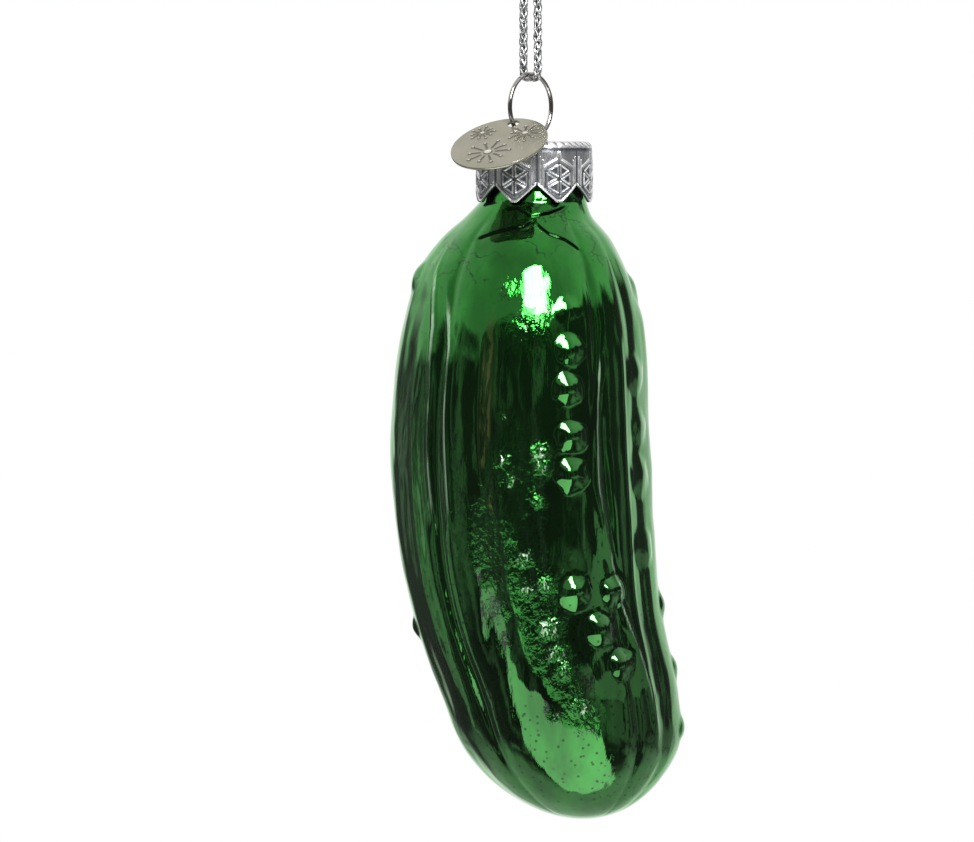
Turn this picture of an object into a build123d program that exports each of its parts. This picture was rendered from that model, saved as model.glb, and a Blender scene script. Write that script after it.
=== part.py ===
from build123d import *
import os
from math import atan2, cos, degrees, pi, radians, sin, sqrt, tan

os.makedirs("parts", exist_ok=True)

# A blown glass pickle ornament that hangs from a loop of metallic cord.
# Millimetres and degrees, +Z up, +X to the right of the front view, -Y to the front.
# The origin is the hanging point, on the underside of the cord's knot.

# Hanging cord: a taut loop through the wire ring, closed by a knot with two tails
cord_d = 1.45
cord_sides = 10
cord_drop = 18.2
bight_slack = 0.35
knot_d = 4.6
knot_h = 4.0
knot_bevel = 1.0
tail_length = 5.0
tail_spacing = 1.9

# Spring hanger: one wire, a round loop above the cap and two sprung legs in the neck
wire_d = 0.7
wire_sides = 10
loop_d = 10.0
loop_turn = 50
loop_lean = 0.9
leg_spacing = 4.0
leg_bend = 0.8
leg_straight = 1.8
grip_depth = 9.5
leg_depth = 14.5
leg_toe_in = 1.6
leg_rounding = 2.0
grip_clearance = 0.15

# Crown cap: stamped sheet with a ring of pointed petals
cap_d = 18.4
cap_sheet = 0.45
cap_h = 9.4
cap_rounding = 1.1
petals = 8
petal_turn = -65.5
petal_groove = 0.3
petal_rise = 2.7
petal_tip = 0.8
leg_hole_clearance = 0.2

# Tag: stamped disc, threaded on the wire loop and hanging over the cap's rim
tag_d = 15.2
tag_sheet = 0.4
tag_hole_d = 1.9
tag_hole_margin = 1.6
tag_slope = 30
tag_bearing = -115
tag_seat = 214

# Glass body: neck, shoulder, fluted pickle and its warts
neck_d = 15.6
neck_length = 8.0
neck_root = 1.0
rim_gap = 0.35
glass_wall = 1.0
glass_floor = 1.6
body_length = 96.4
body_width = 40.7
body_depth = 38.6
body_bend = 10.0
tip_d = 4.8
groove_depth = 0.7
wart_d = 7.0
wart_rise = 0.9

# Sections of the glass body from the neck to the tip, each a share of the length, a share of the
# swell to the body's full size, a share of the bend to the side and a share of the groove's depth.
# The body swells from the neck's size down to its widest section, and from the tip's size up to it.
# Shoulder, belly and tip are smooth lofts of their own, and each of the lower two starts at the
# last section of the one above it.
widest = 0.52
shoulder_shares = (
    (0.0, 0.005, 0.0, 0.0),
    (0.03, 0.17, -0.09, 0.1),
    (0.065, 0.445, -0.13, 0.4),
    (0.115, 0.685, -0.18, 0.8),
    (0.165, 0.815, -0.18, 1.0),
    (0.25, 0.93, -0.21, 1.0),
)
belly_shares = (
    (0.37, 0.99, -0.235, 1.0),
    (widest, 1.0, -0.14, 1.0),
    (0.66, 0.965, 0.04, 1.0),
    (0.80, 0.91, 0.39, 1.0),
)
tip_shares = (
    (0.88, 0.82, 0.55, 0.7),
    (0.935, 0.62, 0.64, 0.4),
    (0.978, 0.32, 0.71, 0.1),
    (1.0, 0.0, 0.76, 0.0),
)
groove_angles = (-158, -128, -98, -67, -39, -11, 38, 61, 92, 122, 152, 180)
# Rows of warts, each an angle from the front and its warts' shares of the length
wart_rows = (
    (22, (0.179, 0.2445, 0.31, 0.3755, 0.441)),
    (21, (0.632,)),
    (36, (0.627,)),
    (27, (0.687,)),
    (33, (0.747,)),
    (66, (0.276, 0.361, 0.439)),
    (63, (0.553,)),
    (84, (0.65, 0.75, 0.85)),
    (-86, (0.12, 0.69)),
    (137, (0.28, 0.58)),
    (-165, (0.24, 0.41, 0.58)),
    (-120, (0.40, 0.60)),
)

# Places worked out from the sizes
cap_top = -(cord_drop + loop_d + wire_d)
loop_x = cos(radians(loop_turn))
loop_y = sin(radians(loop_turn))
axis_x = loop_lean * loop_x
axis_y = loop_lean * loop_y
neck_top = cap_top - cap_sheet - rim_gap
neck_bore_d = neck_d - 2 * glass_wall
body_top = neck_top - neck_length
belly_span = shoulder_shares[-1:] + belly_shares
tip_span = belly_shares[-1:] + tip_shares


def stations(shares, inset=0.0, floor=0.0):
    """Sections of the glass body: height, half width, half depth, shift and groove depth."""
    rows = []
    for share, swell, bend, groove in shares:
        end = neck_d / 2 if share < widest else tip_d / 2
        height = body_top - share * (body_length - floor)
        half_width = end + swell * (body_width / 2 - end) - inset
        half_depth = end + swell * (body_depth / 2 - end) - inset
        rows.append((height, half_width, half_depth, bend * body_bend, groove * groove_depth))
    return rows


def skin_point(angle, half_width, half_depth, shift, groove=0.0):
    """A point of one section's outline, at an angle turned from the front towards +X."""
    x = axis_x + shift + (half_width - groove) * sin(radians(angle))
    y = axis_y - (half_depth - groove) * cos(radians(angle))
    return x, y


def fluted_outline(half_width, half_depth, shift, groove):
    """One section's outline as one arc for each flute, from groove to groove."""
    for left, right in zip(groove_angles, groove_angles[1:] + (groove_angles[0] + 360,)):
        ThreePointArc(
            skin_point(left, half_width, half_depth, shift, groove),
            skin_point((left + right) / 2, half_width, half_depth, shift),
            skin_point(right, half_width, half_depth, shift, groove),
        )


def wart_centres():
    """Centres of the balls that make the warts, sunk so that each stands out by wart_rise."""
    rows = stations(shoulder_shares + belly_shares + tip_shares)
    sunk = wart_d / 2 - wart_rise
    centres = []
    for angle, shares in wart_rows:
        for share in shares:
            height = body_top - share * body_length
            above = max(i for i, row in enumerate(rows[:-1]) if row[0] >= height)
            part = (rows[above][0] - height) / (rows[above][0] - rows[above + 1][0])
            near = [a + part * (b - a) for a, b in zip(rows[above], rows[above + 1])]
            x, y = skin_point(angle, near[1] - sunk, near[2] - sunk, near[3])
            centres.append((x, y, height))
    return centres


# Glass body: the hollow first, then the fluted skin round it
with BuildPart() as hollow:
    with BuildSketch(Plane.XY.offset(neck_top)):
        with Locations((axis_x, axis_y)):
            Circle(neck_bore_d / 2)
    extrude(amount=-neck_length - neck_root)
    for span in (shoulder_shares, belly_span, tip_span):
        for height, half_width, half_depth, shift, groove in stations(span, glass_wall, glass_floor):
            with BuildSketch(Plane.XY.offset(height)):
                with Locations((axis_x + shift, axis_y)):
                    Ellipse(half_width - groove, half_depth - groove)
        loft()

with BuildPart() as glass_pickle:
    with BuildSketch(Plane.XY.offset(neck_top)):
        with Locations((axis_x, axis_y)):
            Circle(neck_d / 2)
    extrude(amount=-neck_length - neck_root)
    for span in (shoulder_shares, belly_span, tip_span):
        for height, half_width, half_depth, shift, groove in stations(span):
            with BuildSketch(Plane.XY.offset(height)):
                with BuildLine():
                    fluted_outline(half_width, half_depth, shift, groove)
                make_face()
        loft()
    with Locations(wart_centres()):
        Sphere(wart_d / 2)
    add(hollow.part, mode=Mode.SUBTRACT)
glass_pickle.part.label = "glass_pickle"
export_step(glass_pickle.part, "parts/glass_pickle.step")


# Crown cap: a lobed cup, open below, cut to points and pierced for the hanger's legs
def lobed_outline(inset):
    """The cap's outline as one arc for each petal, drawn in by an inset."""
    crest = cap_d / 2 - inset
    valley = crest - petal_groove
    half = 180 / petals
    for petal in range(petals):
        middle = petal_turn + petal * 360 / petals
        ends = [radians(middle - half), radians(middle), radians(middle + half)]
        reach = [valley, crest, valley]
        ThreePointArc(*[(axis_x + r * cos(a), axis_y + r * sin(a)) for r, a in zip(reach, ends)])


with BuildPart() as cap_inside:
    with BuildSketch(Plane.XY.offset(cap_top - cap_sheet)):
        with BuildLine():
            lobed_outline(cap_sheet)
        make_face()
    extrude(amount=-cap_h)
    chamfer(cap_inside.faces().sort_by(Axis.Z)[-1].edges(), cap_rounding - cap_sheet)

with BuildPart() as crown_cap:
    with BuildSketch(Plane.XY.offset(cap_top)):
        with BuildLine():
            lobed_outline(0)
        make_face()
    extrude(amount=-cap_h)
    fillet(crown_cap.faces().sort_by(Axis.Z)[-1].edges(), cap_rounding)
    add(cap_inside.part, mode=Mode.SUBTRACT)
    for petal in range(petals):
        between = radians(petal_turn + (petal + 0.5) * 360 / petals)
        outward = (cos(between), sin(between), 0)
        along = (-sin(between), cos(between), 0)
        notch = (cap_d / 2 - cap_sheet) * tan(pi / petals) - petal_tip / 2
        with BuildSketch(Plane((axis_x, axis_y, cap_top - cap_h), x_dir=along, z_dir=outward)):
            with BuildLine():
                Polyline((-notch, 0), (notch, 0), (0, petal_rise), close=True)
            make_face()
        extrude(amount=cap_d, mode=Mode.SUBTRACT)
    holes = [(axis_x + u * loop_x, axis_y + u * loop_y, cap_top) for u in (-leg_spacing / 2, leg_spacing / 2)]
    with Locations(holes):
        Hole(wire_d / 2 + leg_hole_clearance)
crown_cap.part.label = "crown_cap"
export_step(crown_cap.part, "parts/crown_cap.step")


# Spring hanger, drawn in the upright plane of its loop, with the cap's top at height 0
loop_plane = Plane((axis_x, axis_y, cap_top), x_dir=(loop_x, loop_y, 0), z_dir=(loop_y, -loop_x, 0))
loop_rise = (loop_d + wire_d) / 2
loop_r = loop_d / 2
leg = leg_spacing / 2
grip = neck_bore_d / 2 - grip_clearance - wire_d / 2


def bend_centre(side):
    """Centre of the small bend that turns a leg into the loop."""
    across = side * (leg + leg_bend)
    rise = loop_rise - sqrt((loop_r + leg_bend) ** 2 - (across + loop_lean) ** 2)
    return across, rise


left_bend = bend_centre(-1)
right_bend = bend_centre(1)
left_angle = degrees(atan2(loop_rise - left_bend[1], -loop_lean - left_bend[0]))
right_angle = degrees(atan2(loop_rise - right_bend[1], -loop_lean - right_bend[0]))

with BuildPart() as spring_hanger:
    with BuildLine(loop_plane) as wire_route:
        for side, bend in ((-1, left_bend), (1, right_bend)):
            FilletPolyline(
                (side * (grip - leg_toe_in), -leg_depth),
                (side * grip, -grip_depth),
                (side * leg, -leg_straight),
                (side * leg, bend[1]),
                radius=leg_rounding,
            )
        CenterArc(left_bend, leg_bend, 0, left_angle)
        CenterArc((-loop_lean, loop_rise), loop_r, left_angle + 180, right_angle - left_angle - 360)
        CenterArc(right_bend, leg_bend, right_angle, 180 - right_angle)
    route = wire_route.wires()[0]
    with BuildSketch(Plane(origin=route @ 0, z_dir=route % 0)):
        RegularPolygon(wire_d / 2, wire_sides)
    sweep(path=route)
spring_hanger.part.label = "spring_hanger"
export_step(spring_hanger.part, "parts/spring_hanger.step")
wire_section = wire_sides / 2 * (wire_d / 2) ** 2 * sin(2 * pi / wire_sides)
print("hanger volume over section times length", spring_hanger.part.volume / (route.length * wire_section))


# Tag: a disc with a hole near its edge, tilted square to the wire that it hangs from
seat = radians(tag_seat)
slope = radians(tag_slope)
bearing = radians(tag_bearing)
tag_hole = loop_plane.from_local_coords(Vector(loop_r * cos(seat) - loop_lean, loop_r * sin(seat) + loop_rise, 0))
downhill = (cos(bearing) * cos(slope), sin(bearing) * cos(slope), -sin(slope))
tag_normal = (cos(bearing) * sin(slope), sin(bearing) * sin(slope), cos(slope))

with BuildPart() as hang_tag:
    with BuildSketch(Plane(tag_hole, x_dir=downhill, z_dir=tag_normal)):
        with Locations((tag_d / 2 - tag_hole_margin, 0)):
            Circle(tag_d / 2)
        Circle(tag_hole_d / 2, mode=Mode.SUBTRACT)
    extrude(amount=tag_sheet / 2, both=True)
hang_tag.part.label = "hang_tag"
export_step(hang_tag.part, "parts/hang_tag.step")


# Hanging cord: two straight strands and the bight that carries the wire loop
bight_r = wire_d / 2 + bight_slack + cord_d / 2
strand = cord_drop + wire_d / 2
cord_plane = Plane((0, 0, -strand), x_dir=(loop_y, -loop_x, 0), z_dir=(-loop_x, -loop_y, 0))

with BuildPart() as hanging_cord:
    with BuildLine(cord_plane) as cord_route:
        Line((-bight_r, strand), (-bight_r, 0))
        CenterArc((0, 0), bight_r, 180, 180)
        Line((bight_r, 0), (bight_r, strand))
    cord_path = cord_route.wires()[0]
    with BuildSketch(Plane(origin=cord_path @ 0, z_dir=cord_path % 0)):
        RegularPolygon(cord_d / 2, cord_sides)
    sweep(path=cord_path)
hanging_cord.part.label = "hanging_cord"
export_step(hanging_cord.part, "parts/hanging_cord.step")
print("cord bend radius", bight_r, "length", cord_path.length)
cord_section = cord_sides / 2 * (cord_d / 2) ** 2 * sin(2 * pi / cord_sides)
print("cord volume over section times length", hanging_cord.part.volume / (cord_path.length * cord_section))

# Knot: a rounded lump where the two strands are tied, with the cut tails above it
with BuildPart() as cord_knot:
    with BuildSketch():
        Circle(knot_d / 2)
    extrude(amount=knot_h)
    chamfer(cord_knot.faces().sort_by(Axis.Z)[-1].edges(), knot_bevel)
    with BuildSketch(Plane.XY.offset(knot_h / 2)):
        for side in (-1, 1):
            with Locations((side * tail_spacing / 2 * loop_y, -side * tail_spacing / 2 * loop_x)):
                RegularPolygon(cord_d / 2, cord_sides)
    extrude(amount=knot_h / 2 + tail_length)
cord_knot.part.label = "cord_knot"
export_step(cord_knot.part, "parts/cord_knot.step")
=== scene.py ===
from math import atan2, cos, degrees, hypot, pi, radians, sin, sqrt, tan

import bpy
import numpy as np
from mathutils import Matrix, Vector, noise


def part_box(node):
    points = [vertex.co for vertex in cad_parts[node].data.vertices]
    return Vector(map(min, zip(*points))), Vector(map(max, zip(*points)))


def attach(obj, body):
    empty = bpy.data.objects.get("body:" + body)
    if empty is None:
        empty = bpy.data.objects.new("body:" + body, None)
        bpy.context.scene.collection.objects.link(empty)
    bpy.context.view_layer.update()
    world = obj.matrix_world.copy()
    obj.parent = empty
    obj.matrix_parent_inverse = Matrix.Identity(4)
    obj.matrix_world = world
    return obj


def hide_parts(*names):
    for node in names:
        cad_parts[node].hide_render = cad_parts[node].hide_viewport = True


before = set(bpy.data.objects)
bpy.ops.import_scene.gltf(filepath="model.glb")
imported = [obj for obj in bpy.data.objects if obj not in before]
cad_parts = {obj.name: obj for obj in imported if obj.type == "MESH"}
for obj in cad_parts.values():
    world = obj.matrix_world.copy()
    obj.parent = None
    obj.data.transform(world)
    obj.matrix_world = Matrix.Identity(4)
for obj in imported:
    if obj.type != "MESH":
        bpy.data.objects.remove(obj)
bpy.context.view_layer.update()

# A mirrored green glass pickle ornament on a loop of silver cord.
# Sizes are in millimetres, turned to metres when a mesh gets its points.
mm = 0.001

# Hanging cord. Its route is given as control points: u across the wire loop, v along it and z up.
strand_reach = 1.425
strand_top = -4.2
bight_drop = 0.76
bight_turn = 0.5
bight_press = 0.35
press_lead = 0.3
first_tail = ((-0.95, 0, 8.8), (-0.76, 0, 6.4), (-0.3, 0, 4.4), (0, 0, 2.2), (-0.4, 0, -0.6))
knot_entry = (1.56, -0.5, -0.9)
wrap_reach = 1.56
wrap_pitch = 1.5
wrap_turns = 1.75
wrap_start = 0.85
wrap_steps = 8
last_tail = ((1.17, -1.2, 4.3), (0.95, -0.3, 6.0), (0.95, 0, 8.8))
spline_steps = 24
braid_strands = 6
braid_pitch = 5.4
braid_reach = 0.42
braid_weave = 0.06
braid_points_per_mm = 5
thread_d = 0.46
thread_sides = 8
core_d = 0.8
core_sides = 16

# Wire hanger
wire_d = 0.7
wire_sides = 20
loop_r = 5.0
loop_turn = 50
loop_lean = 0.9
leg = 2.0
leg_bend = 0.8
leg_straight = 1.8
grip = 6.3
grip_depth = 9.5
leg_depth = 14.5
leg_toe_in = 1.6
leg_rounding = 2.0
end_inset = 0.14
arc_step = 5

# Crown cap
cap_r = 9.2
cap_sheet = 0.45
cap_h = 9.4
cap_rounding = 1.1
petals = 8
petal_turn = -65.5
petal_groove = 0.3
petal_rise = 2.7
petal_tip = 0.8
leg_hole_d = 1.1

# Tag
tag_d = 15.2
tag_sheet = 0.4
tag_hole_d = 1.9
tag_hole_margin = 1.6
tag_slope = 30
tag_bearing = -115
tag_seat = 214

# Glass body
neck_r = 7.8
glass_wall = 1.0
glass_floor = 1.6
neck_length = 8.0
rim_gap = 0.35
body_length = 96.4
body_width = 40.7
body_depth = 38.6
body_bend = 10.0
tip_r = 2.4
widest = 0.52
# Sections from the neck to the tip: shares of the length, the swell, the bend and the grooves' depth
body_sections = (
    (0.0, 0.005, 0.0, 0.0),
    (0.03, 0.17, -0.09, 0.1),
    (0.065, 0.445, -0.13, 0.4),
    (0.115, 0.685, -0.18, 0.8),
    (0.165, 0.815, -0.18, 1.0),
    (0.25, 0.93, -0.21, 1.0),
    (0.37, 0.99, -0.235, 1.0),
    (widest, 1.0, -0.14, 1.0),
    (0.66, 0.965, 0.04, 1.0),
    (0.80, 0.91, 0.39, 1.0),
    (0.88, 0.82, 0.55, 0.7),
    (0.935, 0.62, 0.64, 0.4),
    (0.978, 0.32, 0.71, 0.1),
    (1.0, 0.0, 0.76, 0.0),
)

# Places worked out from the frame and the sizes
along = Vector((cos(radians(loop_turn)), sin(radians(loop_turn)), 0))
across = Vector((along.y, -along.x, 0))
cap_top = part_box("crown_cap")[1].z / mm
axis = loop_lean * along
loop_rise = loop_r + wire_d / 2
ring_top = cap_top + loop_rise + loop_r
bight_low = ring_top - bight_drop
straight_end = ring_top + bight_turn
neck_top = cap_top - cap_sheet - rim_gap
body_top = neck_top - neck_length


# Tools for meshes

seam_weld = 0.001
sharp_turn = 40


def deselect_all():
    """Leave edit mode and let go of everything."""
    if bpy.context.object and bpy.context.object.mode == "EDIT":
        bpy.ops.object.mode_set(mode="OBJECT")
    bpy.ops.object.select_all(action="DESELECT")


def pick(piece):
    """Select one piece alone and make it the active one."""
    deselect_all()
    piece.select_set(True)
    bpy.context.view_layer.objects.active = piece


def edit_all(piece):
    """Open a piece in edit mode with all of it selected."""
    pick(piece)
    bpy.ops.object.mode_set(mode="EDIT")
    bpy.ops.mesh.select_all(action="SELECT")


def placed(name, data):
    """A new object that holds some data, put in the scene."""
    made = bpy.data.objects.new(name, data)
    bpy.context.scene.collection.objects.link(made)
    return made


def rolled_sheet(name, points):
    """A grid rolled through rows of points in mm, its seam still open, and each point's row and column."""
    rows, columns = points.shape[0] - 1, points.shape[1] - 1
    deselect_all()
    bpy.ops.mesh.primitive_grid_add(x_subdivisions=columns, y_subdivisions=rows, size=1)
    piece = bpy.context.object
    piece.name = name
    flat = np.empty(len(piece.data.vertices) * 3)
    piece.data.vertices.foreach_get("co", flat)
    flat = flat.reshape(-1, 3)
    column = np.rint((flat[:, 0] + 0.5) * columns).astype(int)
    row = np.rint((0.5 - flat[:, 1]) * rows).astype(int)
    piece.data.vertices.foreach_set("co", (points[row, column] * mm).ravel())
    return piece, row, column


def close_and_smooth(piece):
    """Merge the seam and the poles, turn the faces outwards and smooth them."""
    edit_all(piece)
    bpy.ops.mesh.remove_doubles(threshold=seam_weld * mm)
    bpy.ops.mesh.normals_make_consistent(inside=False)
    bpy.ops.object.mode_set(mode="OBJECT")
    bpy.ops.object.shade_smooth()


def note(piece, name, values):
    """Store one number for each point of a piece, for its material to read."""
    attribute = piece.data.attributes.new(name, "FLOAT", "POINT")
    attribute.data.foreach_set("value", np.asarray(values, np.float32).ravel())


def smooth_step(low, high, value):
    """From 0 at low to 1 at high, level at both ends."""
    part = np.clip((value - low) / (high - low), 0, 1)
    return part * part * (3 - 2 * part)


def between(value, start, full, fading, end):
    """From 0 at start up to 1 at full, and from 1 at fading back to 0 at end."""
    return smooth_step(start, full, value) * smooth_step(end, fading, value)


def smooth_through(places, values, at):
    """A smooth curve through values at uneven places, read at other places."""
    places = np.asarray(places, float)
    values = np.asarray(values, float)
    slopes = np.gradient(values, places)
    upper = np.clip(np.searchsorted(places, at, side="right"), 1, len(places) - 1)
    lower = upper - 1
    width = places[upper] - places[lower]
    t = (at - places[lower]) / width
    ease = t * t * (3 - 2 * t)
    bulge = t * (1 - t)
    rise = values[lower] + ease * (values[upper] - values[lower])
    return rise + width * bulge * ((1 - t) * slopes[lower] - t * slopes[upper])


def normals_of(points):
    """Outward normals of a rolled sheet's points."""
    down = np.gradient(points, axis=0)
    wrapped = np.concatenate([points[:, -2:-1], points, points[:, 1:2]], axis=1)
    round_ = np.gradient(wrapped, axis=1)[:, 1:-1]
    normal = np.cross(down, round_)
    length = np.linalg.norm(normal, axis=2, keepdims=True)
    return normal / np.maximum(length, 1e-9)


# Camera, at the photograph's angle and framing

photo_width = 974
mm_per_pixel = 0.155
view_centre = Vector((-6.74, 0.7, -72.2))
lens = 200
sensor = 36
look_down = 3.0
near_clip = 10


def make_camera():
    data = bpy.data.cameras.new("photo_camera")
    data.lens = lens
    data.sensor_width = sensor
    data.clip_start = near_clip * mm
    camera = placed("photo_camera", data)
    distance = photo_width * mm_per_pixel * lens / sensor
    pitch = radians(look_down)
    back = Vector((0, -cos(pitch), sin(pitch)))
    camera.location = (view_centre + back * distance) * mm
    camera.rotation_euler = (radians(90) - pitch, 0, 0)
    bpy.context.scene.camera = camera


make_camera()


# Hanging cord: one braided cord, doubled through the wire loop and knotted below its two tails

def cord_route():
    """Control points of the cord, in mm."""
    heights = (strand_top, straight_end, bight_low)
    route = list(first_tail)
    route += [(-strand_reach, 0, height) for height in heights]
    route += [(strand_reach, 0, height) for height in reversed(heights)]
    route.append(knot_entry)
    for step in range(int(wrap_turns * wrap_steps) + 1):
        turn = 2 * pi * step / wrap_steps
        height = wrap_start + wrap_pitch * step / wrap_steps
        route.append((wrap_reach * cos(turn), wrap_reach * sin(turn), height))
    route += last_tail
    return [across * u + along * v + Vector((0, 0, z)) for u, v, z in route]


def cord_line():
    """Points along the cord's centre, in mm, read from a smooth spline on the route."""
    curve = bpy.data.curves.new("cord_route", "CURVE")
    curve.dimensions = "3D"
    curve.resolution_u = spline_steps
    spline = curve.splines.new("NURBS")
    route = cord_route()
    spline.points.add(len(route) - 1)
    for point, place in zip(spline.points, route):
        point.co = (*place, 1)
    spline.order_u = 3
    spline.use_endpoint_u = True
    bare = bpy.data.objects.new("cord_route", curve)
    mesh = bpy.data.meshes.new_from_object(bare)
    line = np.array([vertex.co for vertex in mesh.vertices])
    bpy.data.objects.remove(bare)
    bpy.data.meshes.remove(mesh)
    return line


def even_points(line, step):
    """The same line with points an even step apart, and how far along each one is."""
    run = np.concatenate([[0], np.cumsum(np.linalg.norm(np.diff(line, axis=0), axis=1))])
    at = np.linspace(0, run[-1], int(run[-1] / step) + 1)
    return np.stack([np.interp(at, run, line[:, k]) for k in range(3)], axis=1), at


def frames_along(line):
    """Two side directions at each point, carried along the line without twisting."""
    tangents = np.gradient(line, axis=0)
    tangents /= np.linalg.norm(tangents, axis=1, keepdims=True)
    aside = (0.3, 0.9, 0.2)
    side = np.cross(tangents[0], aside)
    sides = []
    for tangent in tangents:
        side = side - tangent * side.dot(tangent)
        side = side / np.linalg.norm(side)
        sides.append(side)
    sides = np.array(sides)
    return sides, np.cross(tangents, sides)


def pressed(line, points):
    """Points round a line, pressed flat against the wire where the line goes under it."""
    shape = (len(line),) + (1,) * (points.ndim - 2) + (3,)
    wire_centre = np.array((0, 0, ring_top))
    towards = line - wire_centre
    towards -= np.outer(towards @ np.array(along), np.array(along))
    towards /= np.linalg.norm(towards, axis=1, keepdims=True)
    push = smooth_step(straight_end + press_lead, bight_low, line[:, 2]) * (1 - bight_press)
    offsets = points - line.reshape(shape)
    depth = (offsets * towards.reshape(shape)).sum(axis=-1, keepdims=True)
    return points - depth * (towards * push[:, None]).reshape(shape)


def tube(line, radius, sides_count, first):
    """Points and faces of a closed tube along a line, with faces counted on from first."""
    one, two = frames_along(line)
    turns = 2 * pi * np.arange(sides_count) / sides_count
    rings = line[:, None] + radius * (
        one[:, None] * np.cos(turns)[None, :, None] + two[:, None] * np.sin(turns)[None, :, None]
    )
    points = rings.reshape(-1, 3)
    faces = []
    for ring in range(len(line) - 1):
        for k in range(sides_count):
            a = first + ring * sides_count + k
            b = first + ring * sides_count + (k + 1) % sides_count
            faces.append((a, b, b + sides_count, a + sides_count))
    faces.append(tuple(first + k for k in reversed(range(sides_count))))
    faces.append(tuple(first + (len(line) - 1) * sides_count + k for k in range(sides_count)))
    return points, faces


def make_cord():
    """The braid round its core, the cord's centre line and its length, the last two in metres."""
    line, at = even_points(cord_line(), 1 / braid_points_per_mm)
    one, two = frames_along(line)
    core, faces = tube(line, core_d / 2, core_sides, 0)
    points = [pressed(line, core.reshape(len(line), -1, 3)).reshape(-1, 3)]
    # The core is noted 0, which the thread material paints near-black as painted shade between the threads
    shades = [np.zeros(len(core))]
    count = len(points[0])
    half = braid_strands // 2
    for strand in range(braid_strands):
        way = 1 if strand < half else -1
        start = 2 * pi * (strand % half) / half
        turn = start + way * 2 * pi * at / braid_pitch
        crossing = half * 2 * pi * at / braid_pitch
        reach = braid_reach + way * braid_weave * np.cos(crossing + (strand % half) * pi)
        centre = line + reach[:, None] * (one * np.cos(turn)[:, None] + two * np.sin(turn)[:, None])
        thread, thread_faces = tube(pressed(line, centre), thread_d / 2, thread_sides, count)
        points.append(thread)
        shades.append(np.full(len(thread), (strand + 1) / braid_strands))
        faces += thread_faces
        count += len(thread)
    mesh = bpy.data.meshes.new("silver_cord")
    mesh.from_pydata((np.concatenate(points) * mm).tolist(), [], faces)
    cord = placed("silver_cord", mesh)
    mesh.polygons.foreach_set("use_smooth", np.ones(len(mesh.polygons), bool))
    note(cord, "strand", np.concatenate(shades))
    return cord, line * mm, at[-1] * mm


silver_cord, cord_path, cord_length = make_cord()
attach(silver_cord, "cord")
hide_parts("hanging_cord", "cord_knot")


# Wire hanger: one round wire, swept from the loop's top down both legs

def in_loop(run, rise):
    """A place in the loop's plane: mm along the loop from the cap's axis and mm above the cap."""
    return axis + along * run + Vector((0, 0, cap_top + rise))


def sweep_arc(centre, turn):
    """Spin the selected end of the wire about a centre in the loop's plane, by a turn in radians."""
    steps = max(2, int(abs(degrees(turn)) / arc_step))
    bpy.ops.mesh.spin(steps=steps, angle=turn, center=in_loop(*centre) * mm, axis=across)


def sweep_straight(run, rise):
    """Draw the selected end of the wire straight on, in the loop's plane."""
    move = (along * run + Vector((0, 0, rise))) * mm
    bpy.ops.mesh.extrude_region_move(TRANSFORM_OT_translate={"value": move})


def wire_half(side):
    """Half of the wire, from the top of the loop to the end of one leg."""
    bend_run = side * (leg + leg_bend)
    bend_rise = loop_rise - sqrt((loop_r + leg_bend) ** 2 - (bend_run + loop_lean) ** 2)
    lean = atan2(bend_run + loop_lean, loop_rise - bend_rise)
    spread = atan2(grip - leg, grip_depth - leg_straight)
    toe = atan2(leg_toe_in, leg_depth - grip_depth)
    first = leg_rounding * tan(spread / 2)
    second = leg_rounding * tan((spread + toe) / 2)
    deselect_all()
    bpy.ops.mesh.primitive_circle_add(
        vertices=wire_sides,
        radius=wire_d / 2 * mm,
        location=in_loop(-loop_lean, loop_rise + loop_r) * mm,
        rotation=(0, radians(90), radians(loop_turn)),
    )
    half = bpy.context.object
    bpy.ops.object.transform_apply(location=True, rotation=True, scale=True)
    edit_all(half)
    sweep_arc((-loop_lean, loop_rise), side * pi - lean)
    sweep_arc((bend_run, bend_rise), lean - side * pi)
    sweep_straight(0, -leg_straight + first - bend_rise)
    sweep_arc((side * (leg + leg_rounding), -leg_straight + first), -side * spread)
    length = hypot(grip - leg, grip_depth - leg_straight) - first - second
    sweep_straight(side * length * sin(spread), -length * cos(spread))
    run = grip - second * sin(spread) - leg_rounding * cos(spread)
    rise = -grip_depth + second * cos(spread) - leg_rounding * sin(spread)
    sweep_arc((side * run, rise), side * (spread + toe))
    length = hypot(leg_toe_in, leg_depth - grip_depth) - second
    sweep_straight(-side * length * sin(toe), -length * cos(toe))
    bpy.ops.mesh.edge_face_add()
    bpy.ops.mesh.inset(thickness=end_inset * mm)
    bpy.ops.mesh.select_all(action="DESELECT")
    bpy.ops.object.mode_set(mode="OBJECT")
    return half


def make_wire():
    left = wire_half(-1)
    right = wire_half(1)
    pick(left)
    right.select_set(True)
    bpy.ops.object.join()
    left.name = "wire_hanger"
    close_and_smooth(left)
    bpy.ops.object.shade_smooth_by_angle(angle=radians(sharp_turn))
    return left


wire_hanger = make_wire()
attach(wire_hanger, "hanger")
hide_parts("spring_hanger")


# Stamped lines, for the cap and the tag

def ridge(distance, width):
    """The height, from 0 to 1, of a rounded ridge at a distance from its middle line."""
    return np.exp(-((distance / width) ** 2))


def from_segment(x, y, start, end):
    """How far points are from a straight line between two places."""
    dx, dy = end[0] - start[0], end[1] - start[1]
    t = np.clip(((x - start[0]) * dx + (y - start[1]) * dy) / (dx * dx + dy * dy), 0, 1)
    return np.hypot(x - start[0] - t * dx, y - start[1] - t * dy)


def at_angle(reach, angle):
    """A place at a distance from the middle, at an angle from the first axis."""
    return reach * cos(radians(angle)), reach * sin(radians(angle))


# Crown cap: a lobed cup of thin sheet with pointed petals, each stamped with a frost hexagon

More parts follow.
